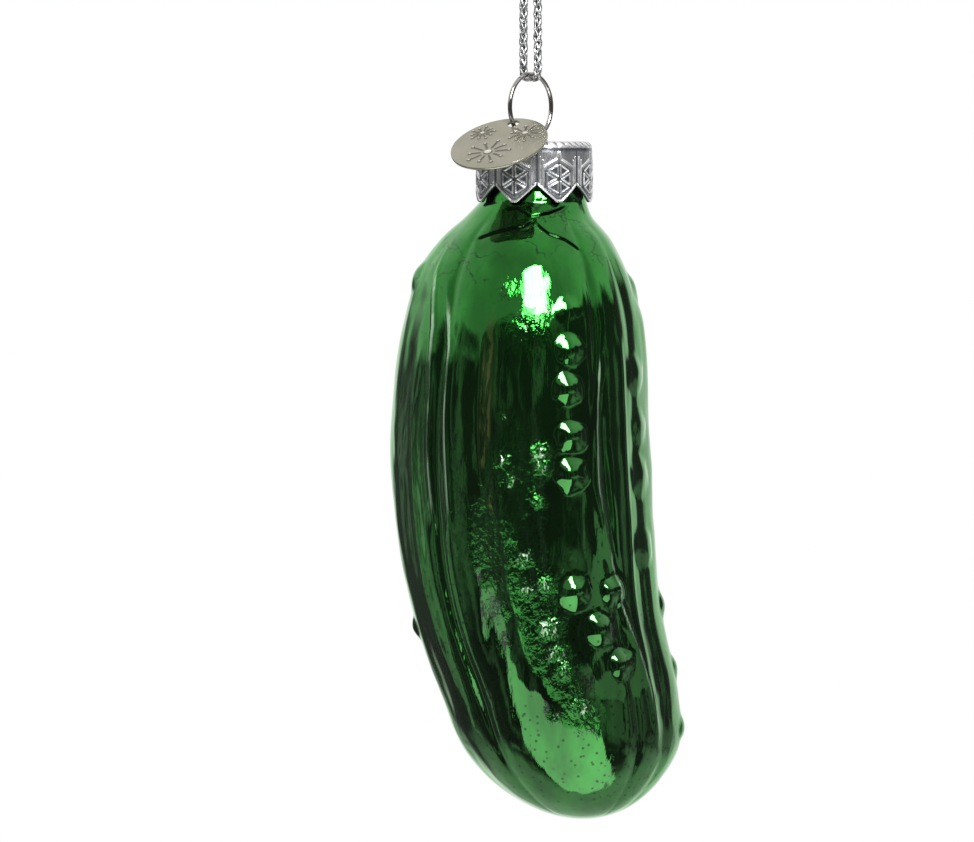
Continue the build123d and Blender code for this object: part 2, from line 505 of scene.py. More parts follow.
cap_columns = petals * 84
cap_inner_rows = 7
cap_wall_rows = 104
cap_bend_rows = 14
cap_sharp_turn = 35
drill_sides = 32
drill_depth = 2.82
inner_bevel = 0.08
edge_bevel = 0.06
stamp_rise = 0.2
stamp_level = 0.75
stamp_line = 0.15
stamp_drop = 5.8
plain_relief = 0.3
hexagon_r = 2.55
hexagon_side = 0.87
hexagon_slope = 0.577
hexagon_field = 1.04
facet_share = 0.68
facet_line = 0.75
# Lines round the hexagon, on the right half of a petal: start, end, height and width in stamp lines
petal_lines = (
    ((2.4, 1.95), (0.38, 3.05), 1.0, 1.3),
    ((0.38, 3.05), (0.1, 4.2), 1.0, 1.0),
    ((2.72, 2.9), (2.72, -1.9), 0.8, 0.8),
    ((3.15, 3.4), (3.15, -1.9), 0.8, 0.8),
)
hem_slope = 0.8
hem_place = 0.2
hem_width = 0.22
hem_groove_place = 0.62
hem_groove_width = 0.1
hem_groove_depth = 0.8
rope_turns = 40
rope_rise = 0.07
rope_slant = 18
# Painted light on the cap: how pale its rope, rolled edge and top are painted, on the same scale as the
# relief
rope_relief = 6
edge_relief = 0.55
top_relief = 0.5


def petal_stamp(x, drop):
    """Relief of one petal, from 0 to 1: x mm from its middle and drop mm below the cap's top."""
    z = stamp_drop - drop
    slanted = (np.abs(z) + np.abs(x) * hexagon_slope) / hexagon_r
    inside = np.maximum(np.abs(x) / (hexagon_r * hexagon_side), slanted)
    relief = np.where(inside < hexagon_field, 0.0, plain_relief)
    for angle in range(30, 390, 60):
        centre = at_angle(hexagon_r * hexagon_slope, angle + 30)
        corners = [(0, 0), at_angle(hexagon_r, angle), at_angle(hexagon_r, angle + 60)]
        corners = [tuple(c + facet_share * (p - c) for c, p in zip(centre, corner)) for corner in corners]
        for start, end in zip(corners, corners[1:] + corners[:1]):
            relief = np.maximum(relief, ridge(from_segment(x, z, start, end), stamp_line * facet_line))
    for start, end, height, width in petal_lines:
        line = from_segment(np.abs(x), z, start, end)
        relief = np.maximum(relief, height * ridge(line, stamp_line * width))
    return relief


def cap_points():
    """Rows of the cap's points, from the middle of its underside round its lower edge to its top."""
    turn = np.linspace(0, 2 * pi, cap_columns + 1)
    level = np.ones_like(turn)
    step = 2 * pi / petals
    place = (turn - radians(petal_turn) + step / 2) % step - step / 2
    lobe = place / (step / 2)
    outline = cap_r - petal_groove * lobe * lobe
    inner = outline - cap_sheet
    x = place * cap_r
    slant = np.clip((np.abs(x) - petal_tip / 2) / (cap_r * step / 2 - petal_tip / 2), 0, 1)
    lower = cap_h - petal_rise * slant
    rows = []
    relief_rows = []

    def add_row(reach, drop, relief):
        ring = (axis.x + reach * np.cos(turn), axis.y + reach * np.sin(turn), cap_top - drop)
        rows.append(np.stack(ring, axis=1))
        relief_rows.append(relief)

    for share in (0, 0.5, 1):
        add_row((inner - (cap_rounding - cap_sheet)) * share, cap_sheet * level, 0 * level)
    for share in np.linspace(0, 1, cap_inner_rows):
        add_row(inner, cap_rounding + (lower - inner_bevel - cap_rounding) * share, 0 * level)
    add_row(outline - cap_sheet / 2, lower, 0 * level)
    for share in np.linspace(1, 0, cap_wall_rows):
        drop = cap_rounding + (lower - edge_bevel - cap_rounding) * share
        hem = ridge((lower - drop - hem_place) * hem_slope, hem_width)
        hem_groove = ridge((lower - drop - hem_groove_place) * hem_slope, hem_groove_width)
        relief = np.maximum(petal_stamp(x, drop), hem) * (1 - hem_groove_depth * hem_groove)
        relief = relief * smooth_step(0.0, 0.1, share) * smooth_step(1.0, 0.93, np.abs(lobe))
        add_row(outline + stamp_rise * (relief - stamp_level), drop, relief)
    for angle in np.linspace(0, 90, cap_bend_rows)[1:]:
        bend = radians(angle)
        rope = rope_rise * sin(2 * bend) * np.sin(turn * rope_turns + angle / rope_slant)
        reach = outline - cap_rounding * (1 - cos(bend)) - stamp_level * stamp_rise * cos(bend)
        add_row(reach + rope, cap_rounding * (1 - sin(bend)) * level, edge_relief + rope_relief * rope)
    for share in (0.85, 0.4, 0):
        add_row((outline - cap_rounding) * share, 0 * level, top_relief * level)
    return np.array(rows), np.array(relief_rows)


def make_cap():
    points, relief = cap_points()
    cap, row, column = rolled_sheet("stamped_cap", points)
    note(cap, "relief", relief[row, column])
    close_and_smooth(cap)
    for side in (-1, 1):
        deselect_all()
        bpy.ops.mesh.primitive_cylinder_add(
            vertices=drill_sides,
            radius=leg_hole_d / 2 * mm,
            depth=drill_depth * mm,
            location=in_loop(side * leg, 0) * mm,
        )
        drill = bpy.context.object
        pick(cap)
        cut = cap.modifiers.new("leg_hole", "BOOLEAN")
        cut.operation = "DIFFERENCE"
        cut.object = drill
        bpy.ops.object.modifier_apply(modifier=cut.name)
        bpy.data.objects.remove(drill)
    bpy.ops.object.shade_smooth_by_angle(angle=radians(cap_sharp_turn))
    return cap


stamped_cap = make_cap()
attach(stamped_cap, "hanger")
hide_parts("crown_cap")


# Tag: a stamped disc, threaded on the wire loop

tag_columns = 400
tag_rows = 160
tag_rows_below = 60
tag_bevel = 0.08
rim_shrink = 0.008
# Frost stars: centre across and up the disc, reach, and turn in degrees
stars = ((-0.76, -2.73, 3.35, 12), (3.19, 3.0, 2.5, 0), (-4.0, 3.0, 1.9, 20))
star_rise = 0.15
star_line = 0.121
star_line_growth = 0.0308
star_rays = 10
hub_foot = 0.28
hub_top = 0.13
ray_start = 0.38
short_ray = 0.86
ray_relief = 0.7
bead_relief = 1.15
bead_line = 1.4


def star_stamp(x, y):
    """Relief of the tag's frost stars, from 0 to about 1, at places in the disc's plane."""
    relief = np.zeros_like(x)
    for centre_x, centre_y, reach, turned in stars:
        line = star_line + star_line_growth * reach
        hub = np.hypot(x - centre_x, y - centre_y)
        relief = np.maximum(relief, smooth_step(hub_foot * reach, hub_top * reach, hub))
        for k in range(star_rays):
            out_x, out_y = at_angle(reach, turned + 360 * k / star_rays)
            length = 1.0 if k % 2 == 0 else short_ray
            start = (centre_x + ray_start * out_x, centre_y + ray_start * out_y)
            end = (centre_x + length * out_x, centre_y + length * out_y)
            relief = np.maximum(relief, ray_relief * ridge(from_segment(x, y, start, end), line))
            bead = np.hypot(x - end[0], y - end[1])
            relief = np.maximum(relief, bead_relief * ridge(bead, line * bead_line))
    return relief


def make_tag():
    """The disc is rolled up from its hole: rows run from the hole's edge out to the rim and back."""
    seat = radians(tag_seat)
    slope = radians(tag_slope)
    hole = in_loop(loop_r * cos(seat) - loop_lean, loop_r * sin(seat) + loop_rise)
    outward = np.array((*at_angle(1, tag_bearing), 0))
    upward = np.array((0, 0, 1))
    downhill = outward * cos(slope) - upward * sin(slope)
    normal = outward * sin(slope) + upward * cos(slope)
    level = np.cross(normal, downhill)
    turn = np.linspace(0, 2 * pi, tag_columns + 1)
    middle = tag_d / 2 - tag_hole_margin
    hole_x, hole_y = tag_hole_d / 2 * np.cos(turn), tag_hole_d / 2 * np.sin(turn)
    rim_x, rim_y = middle + tag_d / 2 * np.cos(turn), tag_d / 2 * np.sin(turn)
    rows = []
    relief_rows = []

    def add_row(share, height, on_face=True):
        """One row round the hole; the faces are stamped, and end a little inside the rim's edge."""
        shrink = rim_shrink if on_face and share == 1 else 0
        x = middle + (hole_x + (rim_x - hole_x) * share - middle) * (1 - shrink)
        y = (hole_y + (rim_y - hole_y) * share) * (1 - shrink)
        relief = star_stamp(y, middle - x)
        lift = height + star_rise * relief * on_face
        rows.append(np.array(hole) + np.outer(x, downhill) + np.outer(y, level) + np.outer(lift, normal))
        relief_rows.append(relief)

    for share in np.linspace(0, 1, tag_rows_below):
        add_row(share, -tag_sheet / 2)
    add_row(1, -tag_sheet / 2 + tag_bevel, on_face=False)
    add_row(1, tag_sheet / 2 - tag_bevel, on_face=False)
    for share in np.linspace(1, 0, tag_rows):
        add_row(share, tag_sheet / 2)
    rows.append(rows[0])
    relief_rows.append(relief_rows[0])
    tag, row, column = rolled_sheet("stamped_tag", np.array(rows))
    note(tag, "relief", np.array(relief_rows)[row, column])
    close_and_smooth(tag)
    bpy.ops.object.shade_smooth_by_angle(angle=radians(sharp_turn))
    return tag


stamped_tag = make_tag()
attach(stamped_tag, "tag")
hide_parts("hang_tag")


# Glass pickle: a fine skin blown into the mould, with grooves, ridges, warts and ripples

glass_columns = 344
glass_rows = 255
inner_rows = 16
column_crowding = 0.36
shoulder_crowding = 1.1
shoulder_shares = (0.14, 0.05)
profile_steps = 4000
settle = 0.14
# Grooves: angle from the front, depth, and width in degrees
grooves = (
    (-158, 0.6, 8), (-128, 0.6, 7), (-98, 0.45, 8), (-68, 0.3, 9), (-40, 0.55, 4), (-13, 0.04, 4),
    (38, 0.5, 3.5), (60, 0.4, 6), (92, 0.45, 8), (122, 0.6, 7), (152, 0.6, 8), (180, 0.5, 7),
)
# Fine ridges: angle, height, width in degrees, and the shares of the length where they start and end
fine_ridges = (
    (-56, 0.16, 2.4, 0.3, 0.8), (-18, 0.1, 1.5, 0.18, 0.5), (52, 0.2, 2.0, 0.2, 0.9),
    (88, 0.65, 9.0, 0.14, 0.52), (110, 0.2, 2.0, 0.2, 0.7), (140, 0.25, 1.8, 0.15, 0.8),
    (168, 0.2, 1.8, 0.3, 0.85), (-112, 0.25, 1.8, 0.2, 0.8), (-143, 0.2, 2.0, 0.15, 0.7),
)
# How grooves and ridges sway down the body: degrees, waves, and the shift of each line to the next
groove_sway = (1.6, 7, 1.7)
groove_fall = 1.5
ridge_sway = (1.2, 9, 2.3)
ridge_start = 0.06
ridge_end = 0.1
# Sharp crests: lines of shares of the length and angles
crests = (
    ((0.06, -62), (0.12, -54), (0.2, -47), (0.3, -44.5), (0.55, -44)),
    ((0.1, -47), (0.17, -40), (0.24, -35.5), (0.43, -34.5), (0.55, -35)),
    (
        (0.19, 39.5), (0.28, 38), (0.37, 36), (0.45, 35), (0.58, 39.7),
        (0.64, 41.8), (0.71, 47), (0.8, 49.5), (0.88, 50),
    ),
)
crest_rise = 0.34
crest_width = 1.9
# Width of the painted highlight along the crests in degrees, how much wider it grows on the shoulder, and the
# shares of the length where it widens
crest_line = 0.8
crest_flare = 1.3
flare_shares = (0.32, 0.12)
crest_start = 0.1
crest_end = 0.08
# Warts: angle, share of the length, reach and height
warts = (
    (22, 0.174, 2.4, 0.42), (22, 0.236, 2.7, 0.75), (21.5, 0.30, 2.7, 0.8), (22.5, 0.3745, 2.8, 0.9),
    (22, 0.435, 3.0, 0.95), (18.5, 0.622, 3.0, 1.1), (37.5, 0.618, 2.6, 1.1), (28, 0.679, 2.9, 1.05),
    (36, 0.738, 2.7, 0.95), (66, 0.276, 3.6, 0.45), (68, 0.361, 3.2, 0.42), (65, 0.439, 3.8, 0.5),
    (63, 0.553, 3.6, 0.5), (84, 0.65, 2.6, 0.65), (84, 0.75, 2.4, 0.55), (84, 0.85, 2.4, 0.5),
    (88, 0.14, 3.0, 0.6), (-86, 0.12, 3.0, 0.5), (-86, 0.69, 2.2, 0.7), (137, 0.28, 3.0, 0.8),
    (137, 0.58, 3.0, 0.8), (-165, 0.24, 3.2, 0.8), (-165, 0.41, 3.2, 0.8), (-165, 0.58, 3.2, 0.8),
    (-120, 0.40, 3.0, 0.8), (-120, 0.60, 3.0, 0.8),
)
wart_roundness = 1.6
wart_unevenness = 0.2
wart_grain = 1.8
wart_seed = 33
# Crumples of the silvering: angle, share of the length, reach and strength
crumples = (
    (-7.5, 0.406, 1.5, 2.0), (8, 0.40, 1.6, 2.0), (8.5, 0.418, 1.5, 2.0), (-5, 0.443, 1.5, 2.0),
    (-6.4, 0.344, 0.9, 2.0), (5.5, 0.472, 1.4, 1.8), (-1.5, 0.567, 1.7, 2.2), (-2, 0.61, 1.7, 2.2),
    (6, 0.605, 1.6, 2.2), (4.3, 0.676, 1.9, 2.4), (5, 0.716, 1.8, 2.4), (5.5, 0.739, 1.6, 2.4),
    (9.7, 0.80, 1.9, 2.2), (-3, 0.815, 1.5, 1.5), (2.5, 0.205, 2.4, 1.5), (-9, 0.14, 1.8, 0.7),
    (-20, 0.60, 2.0, 0.6), (-17, 0.65, 2.2, 0.6), (-18, 0.70, 2.0, 0.5),
)
# The crumpled band's path down the front: shares of the length and the angles there
crumple_path = ((0.3, 0.58, 0.73, 0.81), (0, -1, 1, 11))
crumple_band = 0.8
band_edges = (12, 6)
band_shares = (0.3, 0.4, 0.8, 0.87)
crumple_left = 0.3
left_angles = (-38, -30, -14, -8)
left_shares = (0.33, 0.42, 0.56, 0.66)
# The olive streak down the front, a painted reflection
streak_angles = (-19, -16.5, -14, -11.5)
streak_shares = (0.16, 0.24, 0.5, 0.62)
neck_straight = 5.0
neck_cone = 0.23
cone_above = 1.3
cone_below = 1.0
cone_gap = 0.2
cone_rows = 6
lip_rows = 9
skin_shares = (0.0, 0.1, 0.93, 1.0)
# Ripples of the skin: height, size across the body, stretch along it and seed
skin_ripples = ((0.30, 14, 2.5, 3), (0.16, 5, 2.2, 8), (0.10, 4, 8, 14), (0.035, 1.7, 2.0, 21))
# Creases of the shoulder: lines of X and Z
shoulder_creases = (
    ((-4.2, -39.3), (-2.0, -39.0), (0.0, -40.3), (2.9, -39.8), (5.3, -38.9)),
    ((-8.5, -43.7), (-5.6, -42.7), (-3.3, -42.1), (-1.1, -41.7), (0.4, -40.8)),
    ((0.6, -41.2), (2.8, -42.9), (5.2, -43.8), (7.9, -45.4)),
)
crease_depth = 0.24
crease_width = 0.16
crease_heal = 1.6
crease_outside = 0.4
crease_inside = 0.8
# Width of the painted shade along the creases, and how much it narrows at their ends
crack_width = 0.3
crack_taper = 0.4


def column_angles():
    """Angles of the columns from the front, in degrees, closer together at the front."""
    even = np.linspace(-180, 180, glass_columns + 1)
    return even - column_crowding * np.degrees(np.sin(np.radians(even)))


def body_profile(share, inset=0.0):
    """Half width, half depth and shift to the side at shares of the length, from the neck to the tip."""
    table = np.array(body_sections)
    end = np.where(table[:, 0] < widest, neck_r, tip_r)
    halves = []
    for full in (body_width, body_depth):
        half = end + table[:, 1] * (full / 2 - end)
        half[-1] = 0
        squared = smooth_through(table[:, 0], half**2, share)
        halves.append(np.maximum(np.sqrt(np.maximum(squared, 0)) - inset, 0))
    return halves[0], halves[1], smooth_through(table[:, 0], table[:, 2] * body_bend, share)


def even_shares(count):
    """Shares of the length that are evenly spaced along the body's side, closer on the shoulder."""
    fine = 1 - (1 - np.linspace(0, 1, profile_steps)) ** 2
    half_width, _, _ = body_profile(fine)
    weight = 1 + shoulder_crowding * smooth_step(*shoulder_shares, fine)
    step = np.hypot(np.diff(half_width), np.diff(fine) * body_length) * weight[1:]
    run = np.concatenate([[0], np.cumsum(step)])
    return np.interp(np.linspace(0, run[-1], count), run, fine)


def ring_rows(height, half_width, half_depth, shift):
    """Rows of points round the body, from angles that start at the back."""
    angle = np.radians(column_angles())
    x = axis.x + shift[:, None] + half_width[:, None] * np.sin(angle)
    y = axis.y - half_depth[:, None] * np.cos(angle)
    return np.stack([x, y, np.broadcast_to(height[:, None], x.shape)], axis=2)


def ripple(points, scale, stretch, seed):
    """A smooth random height from -1 to 1, drawn out along the body's length."""
    flat = points.reshape(-1, 3) / scale
    flat = flat * (1, 1, 1 / stretch) + seed
    return np.array([noise.noise(p) for p in flat.tolist()]).reshape(points.shape[:2])


def from_spot(points, share, place, spot_share):
    """How far points of the skin are from a spot at an angle and a share of the length, in mm."""
    row = np.abs(share[:, 0] - spot_share).argmin()
    column = np.abs(column_angles() - place).argmin()
    return np.linalg.norm(points - points[row, column], axis=2)


def crumpled(points, share):
    """How crumpled the silvering is: clumps along a path down the front."""
    angle = column_angles()[None, :]
    share = share[:, None]
    middle = np.interp(share, *crumple_path)
    band = smooth_step(*band_edges, np.abs(angle - middle))
    amount = crumple_band * band * between(share, *band_shares)
    left = between(angle, *left_angles) * between(share, *left_shares)
    amount = np.maximum(amount, crumple_left * left)
    for place, spot_share, reach, strong in crumples:
        amount = np.maximum(amount, strong * ridge(from_spot(points, share, place, spot_share), reach))
    return amount


def along_crests(share, width):
    """Where sharp crests run down the skin, from 0 to 1; width is in degrees."""
    angle = column_angles()[None, :]
    amount = np.zeros((len(share), angle.shape[1]))
    for crest in crests:
        shares, places = np.array(crest).T
        fade = between(share, shares[0], shares[0] + crest_start, shares[-1] - crest_end, shares[-1])
        amount = np.maximum(amount, fade * ridge(angle - np.interp(share, shares, places), width))
    return amount


def crease_lines(points):
    """For each crease of the shoulder: where it runs, from 0 to 1, and how far points are above it, in mm."""
    x, y, z = np.moveaxis(points, 2, 0)
    for crease in shoulder_creases:
        line_x, line_z = np.array(crease).T
        from_ends = np.minimum(x - line_x[0], line_x[-1] - x)
        ends = smooth_step(-crease_outside, crease_inside, from_ends)
        yield np.where(y < axis.y, ends, 0), z - np.interp(x, line_x, line_z)


def cracked(points):
    """How much painted shade lies along the creases, from 0 to 1."""
    amount = np.zeros(points.shape[:2])
    for ends, over in crease_lines(points):
        width = crack_width * (crack_taper + (1 - crack_taper) * ends)
        amount = np.maximum(amount, ends * ridge(over, width))
    return amount


def from_line(place, share, sway, number):
    """How far the columns are from a line that sways as it runs down the body, in degrees."""
    size, waves, shift = sway
    wander = size * np.sin(waves * share + shift * number)
    return (column_angles()[None, :] - place - wander + 180) % 360 - 180


def skin_height(points, share):
    """How far the skin stands off its smooth form, in mm."""
    share = share[:, None]
    depth = np.interp(share, [row[0] for row in body_sections], [row[3] for row in body_sections])
    height = np.zeros(points.shape[:2])
    for number, (place, deep, width) in enumerate(grooves):
        off = from_line(place, share, groove_sway, number)
        height -= deep * depth / (1 + (off / width) ** 2) ** groove_fall
    for number, (place, rise, width, first, last) in enumerate(fine_ridges):
        off = from_line(place, share, ridge_sway, number)
        fade = between(share, first, first + ridge_start, last - ridge_end, last)
        height += rise * fade * ridge(off, width)
    fade = between(share, *skin_shares)
    for amount, scale, stretch, seed in skin_ripples:
        height += fade * amount * ripple(points, scale, stretch, seed)
    height -= fade * settle
    lumps = 1 + wart_unevenness * ripple(points, wart_grain, 1.0, wart_seed)
    for place, wart_share, reach, rise in warts:
        away = lumps * from_spot(points, share, place, wart_share) / reach
        height += rise * np.maximum(1 - away**2, 0) ** wart_roundness
    height += crest_rise * along_crests(share, crest_width)
    for ends, over in crease_lines(points):
        drop = smooth_step(crease_width, -crease_width, over) * np.exp(np.minimum(over, 0) / crease_heal)
        height -= crease_depth * ends * drop
    return height


def neck_rows():
    """Rows of the neck, from inside its root over its rounded lip and down to the shoulder."""
    lip = glass_wall / 2
    neck = [(neck_r - glass_wall, body_top), (neck_r - glass_wall, neck_top - lip)]
    for turn in np.radians(np.linspace(0, 180, lip_rows))[1:]:
        neck.append((neck_r - lip - lip * cos(turn), neck_top - lip + lip * sin(turn)))
    neck += [(neck_r, body_top + rise) for rise in (neck_straight, cone_above + cone_gap)]
    for rise in np.linspace(cone_above, cone_gap, cone_rows):
        neck.append((neck_r + neck_cone * (cone_above - rise), body_top + rise))
    reach, height = np.array(neck).T
    return ring_rows(height, reach, reach, 0 * reach)


def make_glass():
    shares = even_shares(glass_rows)
    half_width, half_depth, shift = body_profile(shares)
    drop = shares * body_length
    cone = np.where(drop < cone_below, neck_r + neck_cone * (cone_above + drop), 0)
    outer = ring_rows(body_top - drop, np.maximum(half_width, cone), np.maximum(half_depth, cone), shift)
    flare = 1 + crest_flare * smooth_step(*flare_shares, shares[:, None])
    marks = {
        "sparkle": crumpled(outer, shares),
        # painted highlight along the crests
        "crest": along_crests(shares[:, None], crest_line * flare),
        # painted shade along the creases
        "crack": cracked(outer),
    }
    outer += normals_of(outer) * skin_height(outer, shares)[:, :, None]
    shares = even_shares(inner_rows)[::-1]
    inner = ring_rows(body_top - shares * (body_length - glass_floor), *body_profile(shares, glass_wall))
    points = np.concatenate([inner, neck_rows(), outer])
    glass, row, column = rolled_sheet("mirrored_pickle", points)
    for name, amount in marks.items():
        values = np.zeros(points.shape[:2])
        values[-glass_rows:] = amount
        note(glass, name, values[row, column])
    angle = column_angles()[column]
    share = (body_top - points[row, column, 2]) / body_length
    # The olive streak, a painted reflection
    note(glass, "olive", between(angle, *streak_angles) * between(share, *streak_shares))
    close_and_smooth(glass)
    return glass


mirrored_pickle = make_glass()
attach(mirrored_pickle, "glass")
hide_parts("glass_pickle")


# Materials

white = (1.0, 1.0, 1.0)
dark_green = (0.004, 0.03, 0.005)


def fill(tree, made, inputs):
    """Fill a node's inputs by name or number: outputs of other nodes are linked, other values are set."""
    for name, value in inputs.items():
        if isinstance(value, bpy.types.NodeSocket):
            tree.links.new(value, made.inputs[name])
        else:
            made.inputs[name].default_value = value


def node(tree, kind, inputs, **settings):
    """Add a node with its settings and fill its inputs."""
    made = tree.nodes.new(kind)
    for name, value in settings.items():
        setattr(made, name, value)
    fill(tree, made, inputs)
    return made


def new_material(name, inputs):
    """A material with its tree and its shader, whose inputs are filled."""
    material = bpy.data.materials.new(name)
    material.use_nodes = True
    shader = material.node_tree.nodes["Principled BSDF"]
    fill(material.node_tree, shader, inputs)
    return material, material.node_tree, shader


def in_mm(tree, stretch=(1, 1, 1)):
    """Object coordinates in millimetres, drawn out where stretch is above 1."""
    place = node(tree, "ShaderNodeTexCoord", {}).outputs["Object"]
    inputs = {"Vector": place, "Scale": [1 / mm / s for s in stretch]}
    return node(tree, "ShaderNodeMapping", inputs).outputs["Vector"]


def noise_value(tree, vector, scale, detail=3, roughness=0.5, distortion=0.0):
    """A noise from 0 to 1, with scale in waves for each unit of the vector."""
    inputs = {"Vector": vector, "Scale": scale, "Detail": detail}
    inputs |= {"Roughness": roughness, "Distortion": distortion}
    return node(tree, "ShaderNodeTexNoise", inputs).outputs["Fac"]


def ranged(tree, value, low, high, to_low=0.0, to_high=1.0):
    """A value stretched smoothly from one range to another."""
    inputs = {"Value": value, "From Min": low, "From Max": high, "To Min": to_low, "To Max": to_high}
    return node(tree, "ShaderNodeMapRange", inputs, interpolation_type="SMOOTHSTEP").outputs["Result"]


def maths(tree, operation, first, *others):
    """One kind of sum on two or more values, each an output or a number."""
    for other in others:
        first = node(tree, "ShaderNodeMath", {0: first, 1: other}, operation=operation).outputs["Value"]
    return first


def times(tree, *values):
    """The product of two or more values."""
    return maths(tree, "MULTIPLY", *values)


def mixed(tree, factor, first, second):
    """Two colours mixed by a factor; a colour is an output or three numbers."""
    colours = [(*colour, 1) if isinstance(colour, tuple) else colour for colour in (first, second)]
    inputs = {"Factor": factor, 6: colours[0], 7: colours[1]}
    return node(tree, "ShaderNodeMix", inputs, data_type="RGBA").outputs[2]


def stored(tree, name):
    """The number that a piece's points hold under a name."""
    return node(tree, "ShaderNodeAttribute", {}, attribute_name=name).outputs["Fac"]


def bump(tree, height, distance):
    """Normals for a height, in parts of a distance in mm."""
    inputs = {"Height": height, "Distance": distance * mm, "Strength": 1.0}
    return node(tree, "ShaderNodeBump", inputs).outputs["Normal"]


def rubbed_metal_group():
    """A shared finish for bare metal: fine scuffs and broad smudges, both from 0 to 1."""
    group = bpy.data.node_groups.new("rubbed_metal", "ShaderNodeTree")
    for name, way, kind in (
        ("Vector", "INPUT", "NodeSocketVector"),
        ("Scuff Scale", "INPUT", "NodeSocketFloat"),
        ("Smudge Scale", "INPUT", "NodeSocketFloat"),
        ("Scuffs", "OUTPUT", "NodeSocketFloat"),
        ("Smudges", "OUTPUT", "NodeSocketFloat"),
    ):
        group.interface.new_socket(name, in_out=way, socket_type=kind)
    given = group.nodes.new("NodeGroupInput").outputs
    scuffs = noise_value(group, given["Vector"], given["Scuff Scale"], 6, 0.7, 0.4)
    smudges = noise_value(group, given["Vector"], given["Smudge Scale"], 3)
    node(group, "NodeGroupOutput", {"Scuffs": scuffs, "Smudges": smudges})
    return group


rubbed_metal = rubbed_metal_group()


def bare_metal(name, metallic, stretch, scuff_scale, smudge_scale, gloss, dent):
    """A rubbed metal that waits for its colour: its material, tree, shader and smudges."""
    material, tree, shader = new_material(name, {"Metallic": metallic})
    inputs = {"Vector": in_mm(tree, stretch), "Scuff Scale": scuff_scale, "Smudge Scale": smudge_scale}
    scuffs, smudges = node(tree, "ShaderNodeGroup", inputs, node_tree=rubbed_metal).outputs
    roughness = ranged(tree, scuffs, 0.3, 0.7, *gloss)
    fill(tree, shader, {"Roughness": roughness, "Normal": bump(tree, scuffs, dent)})
    return material, tree, shader, smudges


def lacquer(tree, vector, drawn, height):
    """The green over the silvering: deeper on the shoulder, with dark pinholes lower down."""
    tone = ranged(tree, noise_value(tree, drawn, 0.14, 4, 0.6), 0.3, 0.7)
    upper = mixed(tree, tone, (0.010, 0.15, 0.013), (0.020, 0.26, 0.024))
    lower = mixed(tree, tone, (0.019, 0.10, 0.020), (0.038, 0.235, 0.040))
    green = mixed(tree, ranged(tree, height, -52.0, -72.0), upper, lower)
    cells = node(tree, "ShaderNodeTexVoronoi", {"Vector": vector, "Scale": 0.9, "Randomness": 1.0})
    pinholes = ranged(tree, cells.outputs["Distance"], 0.14, 0.27, 1.0, 0.0)
    pinholes = times(tree, pinholes, ranged(tree, height, -80.0, -100.0, 0.15, 0.85))
    return mixed(tree, pinholes, green, dark_green)


def hairlines(tree, vector, height):
    """Where hair cracks run over the shoulder: the edges of large cells, shaken by a noise."""
    shake = node(tree, "ShaderNodeTexNoise", {"Vector": vector, "Scale": 0.35, "Detail": 3})
    inputs = {0: shake.outputs["Color"], 1: (5.0, 5.0, 5.0), 2: vector}
    shaken = node(tree, "ShaderNodeVectorMath", inputs, operation="MULTIPLY_ADD")
    inputs = {"Vector": shaken.outputs["Vector"], "Scale": 0.16}
    cells = node(tree, "ShaderNodeTexVoronoi", inputs, feature="DISTANCE_TO_EDGE")
    lines = ranged(tree, cells.outputs["Distance"], 0.007, 0.02, 0.75, 0.0)
    breaks = ranged(tree, noise_value(tree, vector, 0.11, 2), 0.46, 0.54)
    return times(tree, lines, breaks, ranged(tree, height, -64.0, -50.0))


